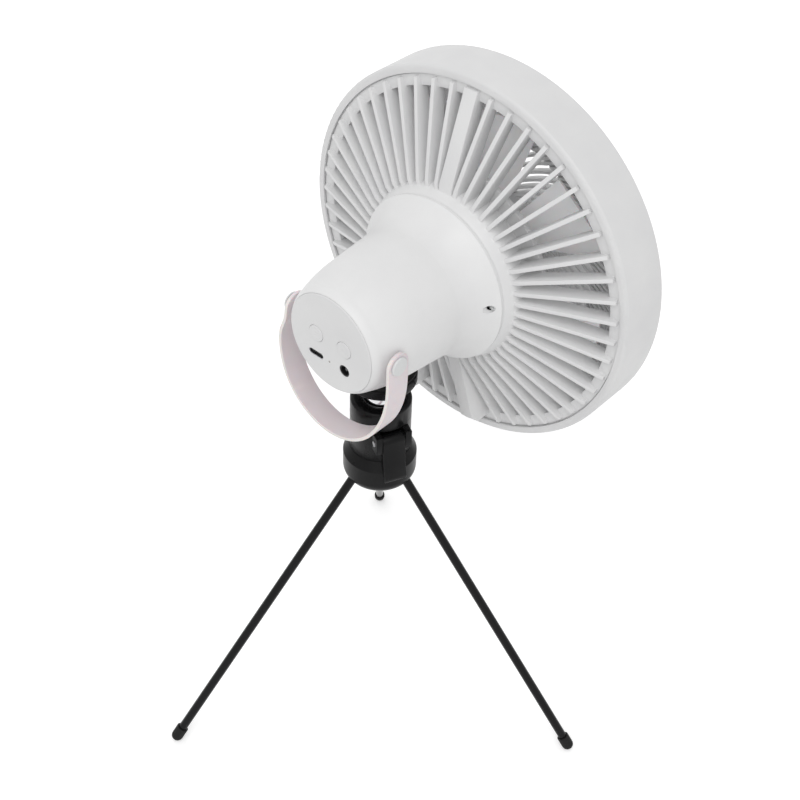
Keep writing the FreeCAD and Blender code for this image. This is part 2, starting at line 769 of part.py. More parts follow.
def make_front_grille():
    """Rim, centre lamp holder and swept ribs."""
    outer = float(S.lip_radius) - 2 * float(S.seat_gap)
    front = float(S.ring_front)
    rim_inner = outer - float(S.grille_rim_width)
    depth = float(S.grille_depth)
    holder = float(S.lamp_radius) + float(S.lamp_rim)
    start = Vector(0, front, 0)
    rim = Part.makeCylinder(outer, depth, start, AXIS_Y).cut(Part.makeCylinder(rim_inner, depth, start, AXIS_Y))
    dish = Part.makeCylinder(holder, depth + 1.0, start, AXIS_Y)
    well = Part.makeCylinder(float(S.lamp_radius), depth, start, AXIS_Y)
    middle = float(S.grille_ring_radius)
    ring = Part.makeCylinder(middle + 1, depth, start, AXIS_Y).cut(Part.makeCylinder(middle - 1, depth, start, AXIS_Y))
    inner_count = int(float(S.grille_inner_count))
    ribs = swept_ribs(inner_count, holder - 0.8, middle, float(S.grille_inner_sweep))
    ribs += swept_ribs(inner_count * 2, middle, rim_inner + 0.8, float(S.grille_outer_sweep))
    whole = rim.multiFuse([dish, ring] + ribs).cut(well).removeSplitter()
    keep("front_grille", shaped("front_grille", whole))
    board_depth = Size(1.0)
    floor = S.ring_front + S.grille_depth
    lens_start = floor - board_depth - S.lamp_depth + 0.2
    keep("led_board", cylinder("led_board", S.lamp_radius - S.seat_gap, board_depth, along_y(0, floor - board_depth, 0)))
    keep("lamp_lens", turned("lamp_lens", [
        (lens_start - 0.4, Size(0)),
        (lens_start - 0.4, S.lamp_radius - S.seat_gap - 0.6, Size(-0.6)),
        (lens_start + 0.2, S.lamp_radius - S.seat_gap),
        (floor - board_depth, S.lamp_radius - S.seat_gap),
        (floor - board_depth, Size(0)),
    ]))


# Strap and its pins
def make_strap():
    """A moulded strap that hangs from two pins; it leans to the left, as soft straps do."""
    half = float(S.strap_thickness) / 2
    width = float(S.strap_width)
    back = float(S.strap_y) - width / 2
    left = float(S.strap_left_x)
    right = -float(S.strap_right_x)
    bulge = float(S.strap_bulge)
    bottom = float(S.strap_bottom)
    end = width / 2
    run = [
        (left - 0.5, end),
        (left, 0.0),
        (left + 1.0, -end),
        (bulge - 0.9, bottom * 0.23),
        (bulge, bottom * 0.42),
        (bulge - 4.5, bottom * 0.72),
        (bulge - 19.0, bottom * 0.96),
        (bulge - 31.3, bottom),
        (right + 16.0, bottom * 0.87),
        (right + 3.9, bottom * 0.56),
        (right + 0.3, bottom * 0.30),
        (right, 0.0),
        (right, end),
    ]
    middle = Part.BSplineCurve()
    middle.interpolate([Vector(x, back, z) for x, z in run])
    sides = []
    for offset in (half, -half):
        points = []
        for step in range(25):
            place = middle.FirstParameter + (middle.LastParameter - middle.FirstParameter) * step / 24
            along = middle.tangent(place)[0]
            points.append(middle.value(place) + Vector(-along.z, 0, along.x) * offset)
        side = Part.BSplineCurve()
        side.interpolate(points)
        sides.append((side.toShape(), points[0], points[-1]))
    outline = Part.Wire(Part.__sortEdges__([
        sides[0][0],
        sides[1][0],
        Part.makeLine(sides[0][1], sides[1][1]),
        Part.makeLine(sides[0][2], sides[1][2]),
    ]))
    strap = Part.Face(outline).extrude(Vector(0, width, 0))
    reach = 2 * bulge
    hanging = Part.makeBox(2 * reach, width + 2, reach + 40, Vector(-reach, back - 1, -reach - 40))
    rounded = Part.makeCylinder(end, 2 * reach, Vector(-reach, float(S.strap_y), 0), AXIS_X)
    strap = strap.common(hanging.fuse(rounded))
    hole = Part.makeCylinder(float(S.strap_pin_radius) + float(S.strap_pin_gap), 2 * reach,
                             Vector(-reach, float(S.strap_y), 0), AXIS_X)
    keep("strap_handle", shaped("strap_handle", strap.cut(hole).removeSplitter()))
    for side, strap_x in ((-1, S.strap_right_x), (1, S.strap_left_x + 0.9)):
        tag = "_left" if side < 0 else "_right"
        turn = Rotation(AXIS_Y, 90 * side)
        start = S.bell_waist_radius - S.bell_wall - 2.5
        outer_face = strap_x + S.strap_thickness / 2 + S.strap_side_gap
        shank = cylinder("pin_shank" + tag, S.strap_pin_radius, outer_face - start,
                         at(side * float(start), S.strap_y, 0, turn))
        head = cylinder("pin_head" + tag, S.strap_head_radius, S.strap_head_depth,
                        at(side * float(outer_face), S.strap_y, 0, turn))
        pin = fuse("strap_pin_solid" + tag, [shank, head])
        document.recompute()
        rim = [index for index, edge in enumerate(pin.Shape.Edges, start=1)
               if abs(edge.BoundBox.XLength) < 1e-6
               and abs(abs(edge.CenterOfMass.x) - float(outer_face + S.strap_head_depth)) < 1e-4]
        soft = document.addObject("Part::Fillet", "strap_pin_round" + tag)
        soft.Base = pin
        soft.Edges = [(index, 0.6, 0.6) for index in rim]
        keep("strap_pin" + tag, soft)


# Tripod head
def make_head():
    """Platform, pad, screw and stem above the ball."""
    pad_top = S.boss_face - S.swivel_gap
    pad_low = pad_top - S.pad_depth
    low = pad_low - S.platform_depth
    keep("platform_pad", turned("platform_pad", [
        (S.thread_radius + 0.4, pad_low),
        (S.platform_radius - 0.5, pad_low),
        (S.platform_radius - 0.5, pad_top),
        (S.thread_radius + 0.4, pad_top),
    ], "Z"))
    foot_rise = Size(math.sqrt(float(S.ball_radius + S.ball_gap) ** 2 - float(S.stem_radius) ** 2),
                     "sqrt(" + ((S.ball_radius + S.ball_gap) * (S.ball_radius + S.ball_gap)
                                - S.stem_radius * S.stem_radius).text + ")")
    keep("platform_stem", turned("platform_stem", [
        (Size(0), S.ball_centre + S.ball_radius + S.ball_gap, -(S.ball_radius + S.ball_gap)),
        (S.stem_radius, S.ball_centre + foot_rise),
        (S.stem_radius, low - 1.5),
        (S.stem_radius + 3, low),
        (S.platform_radius - 1, low, Size(1)),
        (S.platform_radius, low + 1),
        (S.platform_radius, pad_low),
        (Size(0), pad_low),
    ], "Z"))
    keep("quarter_inch_screw", turned("quarter_inch_screw", [
        (Size(0), pad_low),
        (S.thread_radius, pad_low),
        (S.thread_radius, S.boss_face + S.thread_reach - 0.6),
        (S.thread_radius - 0.6, S.boss_face + S.thread_reach),
        (Size(0), S.boss_face + S.thread_reach),
    ], "Z"))
    for name in ("platform_pad", "platform_stem", "quarter_inch_screw"):
        NODES[name].Placement = at(0, S.mount_y, 0)
    ball = document.addObject("Part::Sphere", "head_ball")
    ball.setExpression("Radius", S.ball_radius.text)
    ball.Placement = at(0, S.mount_y, S.ball_centre)
    keep("head_ball", ball)


def make_barrel():
    """The barrel that holds the ball, with the lever's lug, seat, pin and lever."""
    cavity = S.ball_radius + S.ball_gap
    mouth = S.barrel_top - S.barrel_mouth_depth
    rim_rise = mouth - S.ball_centre
    rim_radius = Size(math.sqrt(float(cavity) ** 2 - float(rim_rise) ** 2),
                      "sqrt(" + (cavity * cavity - rim_rise * rim_rise).text + ")")
    barrel = turned("barrel_turned", [
        (rim_radius, mouth, -cavity),
        (cavity, S.ball_centre),
        (cavity, S.seat_bottom),
        (S.leg_radius, S.seat_bottom),
        (S.leg_radius, S.barrel_bottom),
        (S.barrel_radius, S.barrel_bottom),
        (S.barrel_radius, S.barrel_top - S.barrel_round, S.barrel_round),
        (S.barrel_radius - S.barrel_round, S.barrel_top),
        (S.barrel_mouth_radius, S.barrel_top),
    ], "Z")
    barrel.Placement = at(0, S.mount_y, 0)
    side_frame = at(0, S.mount_y, 0, Rotation(AXIS_Z, float(S.lever_angle)))
    lug = block("lever_lug", S.lug_reach - 10, S.lug_width, S.lug_height, side_frame.multiply(
        at(-S.lug_reach, -S.lug_width / 2, S.lever_pivot_z - S.lug_height / 2)))
    slot_width = S.lever_width + S.lever_gap * 2
    slot_back = S.lever_pivot_x - S.lever_eye - S.lever_gap
    slot = block("lever_slot", Size(12), slot_width, S.lug_height + 2,
                 side_frame.multiply(at(-slot_back - 12, -slot_width / 2, S.lever_pivot_z - S.lug_height / 2 - 1)))
    hole = cylinder("lever_pin_hole", S.lever_pin_radius, S.lug_width + 2,
                    side_frame.multiply(along_y(-S.lever_pivot_x, -S.lug_width / 2 - 1, S.lever_pivot_z)))
    keep("ball_barrel", cut("ball_barrel", fuse("barrel_solid", [barrel, lug]), [slot, hole]))
    keep("ball_seat", turned("ball_seat", [
        (Size(0), S.ball_centre - cavity, cavity),
        (cavity * 0.8, S.ball_centre - cavity * 0.6),
        (cavity, S.ball_centre - cavity * 0.6),
        (cavity, S.seat_bottom),
        (Size(0), S.seat_bottom),
    ], "Z"))
    NODES["ball_seat"].Placement = at(0, S.mount_y, 0)
    pin_length = S.lug_width + 0.6
    keep("lever_pin", cylinder("lever_pin", S.lever_pin_radius, pin_length,
                               side_frame.multiply(along_y(-S.lever_pivot_x, pin_length / -2, S.lever_pivot_z))))
    x = -float(S.lever_pivot_x)
    z = float(S.lever_pivot_z)
    tip = float(S.lever_tip_z)
    wall = float(S.barrel_radius) + 0.4
    outside = float(S.hub_top_radius) + 0.6
    shoulder = float(S.barrel_bottom)
    low_shoulder = shoulder - float(S.collar_shoulder)
    y = -float(S.lever_width) / 2
    arm = prism([
        Vector(-wall, y, z - 2.0),
        Vector(-wall - 0.3, y, shoulder + 1.5),
        Vector(-outside, y, low_shoulder),
        Vector(-outside, y, tip),
        Vector(-outside - 1.8, y, tip),
        Vector(-outside - 2.2, y, low_shoulder - 1),
        Vector(-wall - 3.4, y, shoulder + 1.5),
        Vector(x - float(S.lever_eye), y, z),
    ], Vector(0, float(S.lever_width), 0))
    eye = Part.makeCylinder(float(S.lever_eye), float(S.lever_width), Vector(x, y, z), AXIS_Y)
    hole_radius = float(S.lever_pin_radius) + float(S.pin_gap)
    bore = Part.makeCylinder(hole_radius, 30, Vector(x, y - 5, z), AXIS_Y)
    keep("locking_lever", shaped("locking_lever", arm.fuse(eye).cut(bore).removeSplitter()))
    NODES["locking_lever"].Placement = side_frame


# Leg hub, legs and feet
def leg_frame(number):
    """The placement of a leg: its own Z runs down the leg, its own Y is the hinge axis."""
    base = at(0, S.mount_y, S.leg_pivot_z)
    turn = Placement(ORIGIN, Rotation(AXIS_Z, float(S.leg_first_angle) + 120 * (number - 1)))
    out = at(S.leg_pivot_radius, 0, 0)
    tilt = Placement(ORIGIN, Rotation(AXIS_Y, 180 - float(S.leg_spread)))
    return base.multiply(turn).multiply(out).multiply(tilt)


def make_collar():
    """The hub under the barrel, with a slot and a pin for each leg."""
    shoulder = S.barrel_bottom - S.collar_shoulder
    collar = turned("collar_turned", [
        (S.leg_radius, S.barrel_bottom),
        (S.leg_radius, S.collar_bottom),
        (S.collar_foot_radius, S.collar_bottom, S.collar_edge + 1.5),
        (S.hub_top_radius, S.collar_bottom + S.collar_edge),
        (S.hub_top_radius, shoulder),
        (S.barrel_radius + 0.1, S.barrel_bottom),
    ], "Z")
    collar.Placement = at(0, S.mount_y, 0)
    tools = []
    reach = 30.0
    spread = math.radians(float(S.leg_spread))
    side = float(S.leg_radius) + float(S.leg_gap)
    width = 2 * (float(S.leg_radius) + float(S.leg_gap))
    pivot = float(S.leg_pivot_radius)
    eye = float(S.leg_eye) + float(S.leg_gap)
    for number in (1, 2, 3):
        turn = Rotation(AXIS_Z, float(S.leg_first_angle) + 120 * (number - 1))
        way = prism([
            Vector(pivot - side, -width / 2, 0),
            Vector(pivot - side, -width / 2, -reach),
            Vector(pivot + reach * math.tan(spread) + side, -width / 2, -reach),
            Vector(pivot + side * math.cos(spread) + reach * math.tan(spread), -width / 2,
                   side * math.sin(spread) - reach),
            Vector(pivot + side * math.cos(spread), -width / 2, side * math.sin(spread)),
        ], Vector(0, width, 0))
        room = Part.makeCylinder(eye, width, Vector(pivot, -width / 2, 0), AXIS_Y)
        slot = shaped("leg_slot_" + str(number), way.fuse(room))
        slot.Placement = at(0, S.mount_y, S.leg_pivot_z, turn)
        tools.append(slot)
        pin_length = S.leg_pin_length
        start = at(0, S.mount_y, S.leg_pivot_z, turn).multiply(along_y(S.leg_pivot_radius, pin_length * -0.5, 0))
        tools.append(cylinder("leg_pin_hole_" + str(number), S.leg_pin_radius, pin_length, start))
        name = "leg_pin_" + str(number)
        keep(name, cylinder(name, S.leg_pin_radius, pin_length, start))
    head_sink = cylinder("collar_screw_sink", Size(3.6), Size(3), at(0, S.mount_y, S.collar_bottom))
    tools.append(head_sink)
    keep("leg_collar", cut("leg_collar", collar, tools))
    shank = cylinder("collar_shank", S.leg_radius, S.seat_bottom - S.collar_bottom - 1.5, at(0, S.mount_y, S.collar_bottom + 1.0))
    head = cylinder("collar_screw_head", Size(3.5), Size(2), at(0, S.mount_y, S.collar_bottom + 1.0))
    keep("collar_screw", fuse("collar_screw", [shank, head]))


def make_legs():
    """Three rods with rubber feet, flat where they meet the ground."""
    ground = float(S.leg_pivot_z) - float(S.leg_length) * math.cos(math.radians(float(S.leg_spread)))
    ground -= float(S.foot_radius) - float(S.foot_flat)
    end = S.leg_length - 1
    for number in (1, 2, 3):
        tag = "_" + str(number)
        frame = leg_frame(number)
        eye_place = frame.multiply(along_y(0, S.leg_eye_width / -2, 0))
        rod = cylinder("rod" + tag, S.leg_radius, end, frame)
        eye = cylinder("eye" + tag, S.leg_eye, S.leg_eye_width, eye_place)
        hole_place = frame.multiply(along_y(0, -S.leg_radius - 1, 0))
        hole = cylinder("eye_hole" + tag, S.leg_pin_radius + S.pin_gap, S.leg_radius * 2 + 2, hole_place)
        keep("leg" + tag, cut("leg" + tag, fuse("leg_solid" + tag, [rod, eye]), [hole]))
        foot = turned("foot_turned" + tag, [
            (Size(0), end),
            (S.leg_radius, end),
            (S.leg_radius, S.leg_length - S.foot_length + S.foot_radius),
            (S.foot_radius, S.leg_length - S.foot_length + S.foot_radius),
            (S.foot_radius, S.leg_length, S.foot_radius),
            (Size(0), S.leg_length + S.foot_radius),
        ], "Z")
        foot.Placement = frame
        centre = frame.multVec(Vector(0, 0, float(S.leg_length)))
        below = block("ground" + tag, 20, 20, 10, at(centre.x - 10, centre.y - 10, ground - 10))
        keep("foot" + tag, cut("foot" + tag, foot, [below]))


make_ring_shell()
make_rear_grille()
make_housing()
make_end_panel()
make_electronics()
make_motor()
make_impeller()
make_front_grille()
make_strap()
make_head()
make_barrel()
make_collar()
make_legs()
document.recompute()

faults = []
for item in document.Objects:
    if "Invalid" in item.State or "Error" in item.State:
        faults.append(item.Name + " did not build: " + str(item.State))
for label, item in NODES.items():
    if item.Shape.isNull() or not item.Shape.isValid() or len(item.Shape.Solids) != 1:
        faults.append(label + " is not one valid solid")
if faults:
    raise RuntimeError("; ".join(faults))

# The origin goes to the middle of the whole box, at the ground.
box = FreeCAD.BoundBox()
for item in NODES.values():
    box.add(item.Shape.optimalBoundingBox(False))
shift = Placement(Vector(-box.Center.x, -box.Center.y, -box.ZMin), Rotation())
for item in NODES.values():
    item.Placement = shift.multiply(item.Placement)
document.recompute()

os.makedirs("parts", exist_ok=True)
for label, item in NODES.items():
    item.Shape.exportStep("parts/" + label + ".step")
print("shift", [round(number, 4) for number in (shift.Base.x, shift.Base.y, shift.Base.z)])
print("box", [round(number, 3) for number in (box.XLength, box.YLength, box.ZLength)], "nodes", len(NODES))
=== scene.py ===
import logging
import math
from dataclasses import dataclass, field
from enum import Enum
from typing import Callable, ClassVar, Sequence

import bpy
from mathutils import Matrix, Vector


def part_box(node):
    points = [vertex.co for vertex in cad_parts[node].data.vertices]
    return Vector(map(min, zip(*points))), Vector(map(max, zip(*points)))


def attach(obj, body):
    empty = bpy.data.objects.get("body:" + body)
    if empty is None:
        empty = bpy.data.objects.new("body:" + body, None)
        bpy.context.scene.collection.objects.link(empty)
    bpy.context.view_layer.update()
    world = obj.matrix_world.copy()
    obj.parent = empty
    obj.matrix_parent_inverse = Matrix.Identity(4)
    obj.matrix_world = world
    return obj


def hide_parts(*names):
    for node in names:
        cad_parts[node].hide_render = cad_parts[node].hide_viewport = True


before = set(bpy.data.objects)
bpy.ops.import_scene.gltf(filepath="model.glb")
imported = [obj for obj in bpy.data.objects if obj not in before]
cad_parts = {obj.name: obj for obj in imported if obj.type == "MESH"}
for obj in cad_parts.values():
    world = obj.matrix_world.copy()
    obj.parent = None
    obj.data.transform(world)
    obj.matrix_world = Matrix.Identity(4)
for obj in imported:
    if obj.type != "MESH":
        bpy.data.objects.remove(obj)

logging.basicConfig(level=logging.INFO, format="%(name)s: %(message)s")
LOG = logging.getLogger("camping_fan")

MM = 0.001
WHITE = (1.0, 1.0, 1.0, 1.0)
Colour = tuple[float, float, float]
Point = tuple[float, float, float]
Fill = Callable[[bpy.types.NodeTree, bpy.types.Node, bpy.types.Node], None]

# The fan's axis and the tripod's axis in the frame.
AXIS_X = (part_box("ring_shell")[0][0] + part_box("ring_shell")[1][0]) / 2
AXIS_Z = (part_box("ring_shell")[0][2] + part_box("ring_shell")[1][2]) / 2
TRIPOD_Y = (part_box("head_ball")[0][1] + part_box("head_ball")[1][1]) / 2

# Turns that lay a shape's own axis along the fan's axis, or leave it upright.
ALONG_FAN: Point = (math.pi / 2, 0.0, 0.0)
UPRIGHT: Point = (0.0, 0.0, 0.0)


class Texture(Enum):
    """How coarse the moulded or drawn skin of a finish is."""

    POLISHED = 0.0
    FINE = 0.25
    SATIN = 0.55
    RUBBERY = 1.0


class ShaderTools:
    """Small helpers that build node trees and the shared groups."""

    FINE_GRAIN = {"Detail": 2.0, "Roughness": 0.6}
    BROAD_TONE = {"Scale": 38.0, "Detail": 4.0, "Roughness": 0.55}
    TONE_RANGE = {"From_Min": 0.3, "From_Max": 0.7}
    SPECKS = {"Scale": 420.0, "Detail": 3.0, "Roughness": 0.7}
    PATCHES = {"Scale": 22.0, "Detail": 2.0}
    SPECK_RANGE = {"From_Min": 0.58, "From_Max": 0.78}

    _groups: dict[str, bpy.types.NodeTree] = {}

    @staticmethod
    def feed(node: bpy.types.Node, **inputs: object) -> bpy.types.Node:
        """Fill the inputs that are named.

        Args:
            node: The node.
            **inputs: Values for the inputs, with underscores for spaces.

        Returns:
            The same node.
        """
        for name, value in inputs.items():
            node.inputs[name.replace("_", " ")].default_value = value
        return node

    @classmethod
    def node(cls, tree: bpy.types.NodeTree, kind: str, **inputs: object) -> bpy.types.Node:
        """Add a node and fill the inputs that are named.

        Args:
            tree: The tree that gets the node.
            kind: The node's type name.
            **inputs: Values for the inputs, with underscores for spaces.

        Returns:
            The new node.
        """
        return cls.feed(tree.nodes.new(kind), **inputs)

    @staticmethod
    def joined(tree: bpy.types.NodeTree, operation: str,
               *values: bpy.types.NodeSocket) -> bpy.types.NodeSocket:
        """Join numbers by one operation.

        Args:
            tree: The tree that gets the node.
            operation: Name of the operation.
            *values: The sockets it works on, in order.

        Returns:
            The socket with the outcome.
        """
        made = tree.nodes.new("ShaderNodeMath")
        made.operation = operation
        for value, socket in zip(values, made.inputs):
            tree.links.new(value, socket)
        return made.outputs["Value"]

    @classmethod
    def group(cls, name: str, inputs: Sequence[str], outputs: Sequence[str],
              fill: Fill) -> bpy.types.NodeTree:
        """Return a shared group, and build it the first time.

        Args:
            name: The group's name.
            inputs: Names of its number inputs.
            outputs: Names of its number outputs.
            fill: Function that wires the inside between the group's two ends.

        Returns:
            The node group.
        """
        if name not in cls._groups:
            tree = bpy.data.node_groups.new(name, "ShaderNodeTree")
            socket = tree.interface.new_socket
            socket("Vector", in_out="INPUT", socket_type="NodeSocketVector")
            for side, labels in (("INPUT", inputs), ("OUTPUT", outputs)):
                for label in labels:
                    socket(label, in_out=side, socket_type="NodeSocketFloat")
            fill(tree, tree.nodes.new("NodeGroupInput"), tree.nodes.new("NodeGroupOutput"))
            cls._groups[name] = tree
        return cls._groups[name]

    @classmethod
    def skin(cls) -> bpy.types.NodeTree:
        """Group for the fine skin of a surface: height of the grain, roughness and a soft tone.

        Returns:
            The node group.
        """
        def fill(tree: bpy.types.NodeTree, start: bpy.types.Node, end: bpy.types.Node) -> None:
            """Wire fine noise for the height, and broad noise for roughness and tone.

            Args:
                tree: The group's tree.
                start: Its input end.
                end: Its output end.
            """
            link = tree.links.new
            fine = cls.node(tree, "ShaderNodeTexNoise", **cls.FINE_GRAIN)
            link(start.outputs["Vector"], fine.inputs["Vector"])
            link(start.outputs["Grain Scale"], fine.inputs["Scale"])
            link(fine.outputs["Fac"], end.inputs["Height"])
            broad = cls.node(tree, "ShaderNodeTexNoise", **cls.BROAD_TONE)
            link(start.outputs["Vector"], broad.inputs["Vector"])
            spread = cls.node(tree, "ShaderNodeMapRange", **cls.TONE_RANGE)
            link(broad.outputs["Fac"], spread.inputs["Value"])
            link(spread.outputs["Result"], end.inputs["Tone"])
            scaled = cls.joined(tree, "MULTIPLY_ADD", spread.outputs["Result"],
                                start.outputs["Roughness Spread"], start.outputs["Roughness"])
            link(scaled, end.inputs["Roughness"])

        return cls.group("surface_skin", ("Grain Scale", "Roughness", "Roughness Spread"),
                         ("Height", "Roughness", "Tone"), fill)

    @classmethod
    def dust(cls) -> bpy.types.NodeTree:
        """Group for sparse dust and rub marks: one mask from 0 to 1.

        Returns:
            The node group.
        """
        def fill(tree: bpy.types.NodeTree, start: bpy.types.Node, end: bpy.types.Node) -> None:
            """Wire a fine noise, cut at a threshold and broken up by a broad one.

            Args:
                tree: The group's tree.
                start: Its input end.
                end: Its output end.
            """
            link = tree.links.new
            specks = cls.node(tree, "ShaderNodeTexNoise", **cls.SPECKS)
            patches = cls.node(tree, "ShaderNodeTexNoise", **cls.PATCHES)
            for texture in (specks, patches):
                link(start.outputs["Vector"], texture.inputs["Vector"])
            cut = cls.node(tree, "ShaderNodeMapRange", **cls.SPECK_RANGE)
            link(specks.outputs["Fac"], cut.inputs["Value"])
            both = cls.joined(tree, "MULTIPLY", cut.outputs["Result"], patches.outputs["Fac"])
            link(cls.joined(tree, "MULTIPLY", both, start.outputs["Amount"]), end.inputs["Mask"])

        return cls.group("dust_marks", ("Amount",), ("Mask",), fill)


@dataclass(frozen=True)
class Finish:
    """A surface of the fan or its tripod.

    Attributes:
        name: Material name.
        colour: Main colour, linear.
        shade: Second colour of the soft tone.
        roughness: Middle roughness.
        texture: How coarse the skin is.
        metallic: 1 for bare metal.
        coat: Clear gloss over the colour.
        dust: Strength of the dust and rub marks.
        dust_colour: Colour of that dust.
        grain_size: Size of one grain in millimetres.
        subsurface: Light that goes into the material, for soft rubber and diffusers.
        painted_glow: Strength of light the surface gives off though no lamp is in it: painted
            light that lifts it, as on the blades in the shade inside the ring.
        specular: Strength of the plain reflection; low on dull black.
    """

    name: str
    colour: Colour
    shade: Colour
    roughness: float = 0.5
    texture: Texture = Texture.SATIN
    metallic: float = 0.0
    coat: float = 0.0
    dust: float = 0.0
    dust_colour: Colour = (0.35, 0.34, 0.32)
    grain_size: float = 0.5
    subsurface: float = 0.0
    painted_glow: float = 0.0
    specular: float = 0.5

    COAT_ROUGHNESS: ClassVar[float] = 0.12
    ROUGHNESS_SPREAD: ClassVar[float] = 0.08
    # Depths in metres: how far light scatters inside, and how high the grain stands.
    SCATTER_DEPTH: ClassVar[float] = 0.002
    GRAIN_HEIGHT: ClassVar[float] = 0.00004
    # A mix node keeps its colours under these numbers; their names aren't unique.
    FACTOR, FIRST, SECOND, RESULT = 0, 6, 7, 2

    def material(self) -> bpy.types.Material:
        """Build the material once and return it after that.

        Returns:
            The node-based material.
        """
        made = bpy.data.materials.get(self.name)
        if made:
            return made
        made = bpy.data.materials.new(self.name)
        made.use_nodes = True
        tree = made.node_tree
        link = tree.links.new
        shader = ShaderTools.feed(
            tree.nodes["Principled BSDF"], Metallic=self.metallic, Coat_Weight=self.coat,
            Coat_Roughness=self.COAT_ROUGHNESS, Specular_IOR_Level=self.specular,
            Subsurface_Weight=self.subsurface, Subsurface_Scale=self.SCATTER_DEPTH)
        skin = self._shared(tree, ShaderTools.skin(), Grain_Scale=1.0 / (self.grain_size * MM),
                            Roughness=self.roughness - self.ROUGHNESS_SPREAD / 2,
                            Roughness_Spread=self.ROUGHNESS_SPREAD)
        dust = self._shared(tree, ShaderTools.dust(), Amount=self.dust)
        tone = self._mix(tree, skin.outputs["Tone"], self.colour, self.shade)
        dusty = self._mix(tree, dust.outputs["Mask"], None, self.dust_colour)
        link(tone.outputs[self.RESULT], dusty.inputs[self.FIRST])
        link(dusty.outputs[self.RESULT], shader.inputs["Base Color"])
        link(skin.outputs["Roughness"], shader.inputs["Roughness"])
        bump = ShaderTools.node(tree, "ShaderNodeBump", Strength=self.texture.value,
                                Distance=self.GRAIN_HEIGHT)
        link(skin.outputs["Height"], bump.inputs["Height"])
        link(bump.outputs["Normal"], shader.inputs["Normal"])
        # Painted light: the surface gives off light in its own colour, though no lamp lights it.
        if self.painted_glow:
            ShaderTools.feed(shader, Emission_Color=(*self.colour, 1.0),
                             Emission_Strength=self.painted_glow)
        return made

    @staticmethod
    def _shared(tree: bpy.types.NodeTree, group: bpy.types.NodeTree,
                **inputs: float) -> bpy.types.Node:
        """Add a shared group, placed by the object's own coordinates.

        Args:
            tree: The material's tree.
            group: The shared group.
            **inputs: Values for its inputs, with underscores for spaces.

        Returns:
            The group's node.
        """
        made = tree.nodes.new("ShaderNodeGroup")
        made.node_tree = group
        place = tree.nodes.new("ShaderNodeTexCoord")
        tree.links.new(place.outputs["Object"], made.inputs["Vector"])
        return ShaderTools.feed(made, **inputs)

    @classmethod
    def _mix(cls, tree: bpy.types.NodeTree, factor: bpy.types.NodeSocket, first: Colour | None,
             second: Colour) -> bpy.types.Node:
        """Add a colour mix.

        Args:
            tree: The material's tree.
            factor: Socket that drives the mix.
            first: Colour at 0, or None where it is linked later.
            second: Colour at 1.

        Returns:
            The mix node.
        """
        mix = tree.nodes.new("ShaderNodeMix")
        mix.data_type = "RGBA"
        if first:
            mix.inputs[cls.FIRST].default_value = (*first, 1.0)
        mix.inputs[cls.SECOND].default_value = (*second, 1.0)
        tree.links.new(factor, mix.inputs[cls.FACTOR])
        return mix


RING_WHITE = Finish("ring_white_plastic", (0.70, 0.70, 0.70), (0.66, 0.66, 0.665), 0.48,
                    grain_size=0.35)
GRILLE_WHITE = Finish("grille_white_plastic", (0.73, 0.73, 0.73), (0.69, 0.69, 0.695), 0.45,
                      Texture.FINE)
HOUSING_WHITE = Finish("housing_white_plastic", (0.76, 0.76, 0.76), (0.73, 0.73, 0.732), 0.46,
                       grain_size=0.35)
PANEL_WHITE = Finish("panel_white_plastic", (0.70, 0.70, 0.70), (0.67, 0.67, 0.673),
                     grain_size=0.3)
# The blades give off painted light that lifts them out of the shade inside the ring.
BLADE_PALE = Finish("blade_pale_plastic", (0.84, 0.84, 0.845), (0.80, 0.80, 0.81), 0.35,
                    Texture.FINE, dust=0.1, subsurface=0.2, painted_glow=0.10)
STRAP_PINK = Finish("strap_pink_silicone", (0.745, 0.68, 0.70), (0.715, 0.65, 0.672), 0.5,
                    Texture.FINE, grain_size=0.4, subsurface=0.15)
# Painted highlight: a paler colour for the strap's narrow edges, where light would catch them.
STRAP_EDGE_HIGHLIGHT = Finish("strap_painted_edge_highlight", (0.80, 0.765, 0.74), (0.77, 0.735, 0.71), 0.5,
                    Texture.FINE, grain_size=0.4, subsurface=0.15)
PIN_WHITE = Finish("pin_white_plastic", (0.68, 0.69, 0.69), (0.65, 0.66, 0.66), 0.42,
                   Texture.FINE)
HEAD_BLACK = Finish("head_black_plastic", (0.006, 0.006, 0.0063), (0.008, 0.008, 0.0084), 0.3,
                    Texture.FINE, dust=0.2, dust_colour=(0.016, 0.016, 0.016),
                    grain_size=0.25, specular=0.12)
ROD_BLACK = Finish("rod_black_paint", (0.005, 0.005, 0.0053), (0.007, 0.007, 0.0074), 0.16,
                   Texture.POLISHED, grain_size=1.0, specular=0.16)
FOOT_BLACK = Finish("foot_black_rubber", (0.010, 0.010, 0.010), (0.013, 0.013, 0.013), 0.6,
                    Texture.RUBBERY, dust=0.3, dust_colour=(0.030, 0.030, 0.029),
                    specular=0.15)
BALL_CHROME = Finish("ball_polished_chrome", (0.80, 0.80, 0.82), (0.74, 0.74, 0.76), 0.12,
                     Texture.POLISHED, metallic=1.0)
PIN_STEEL = Finish("pin_plain_steel", (0.55, 0.55, 0.56), (0.48, 0.48, 0.50), 0.3,
                   Texture.FINE, metallic=1.0)
INSERT_BRASS = Finish("insert_brass", (0.62, 0.45, 0.18), (0.55, 0.39, 0.15), 0.32,
                      Texture.FINE, metallic=1.0)
MOTOR_METAL = Finish("motor_grey_metal", (0.45, 0.45, 0.46), (0.40, 0.40, 0.41), 0.36,
                     Texture.FINE, metallic=1.0)
CELL_BLUE = Finish("cell_blue_wrap", (0.06, 0.20, 0.42), (0.05, 0.17, 0.38), 0.3,
                   Texture.FINE, coat=0.3)
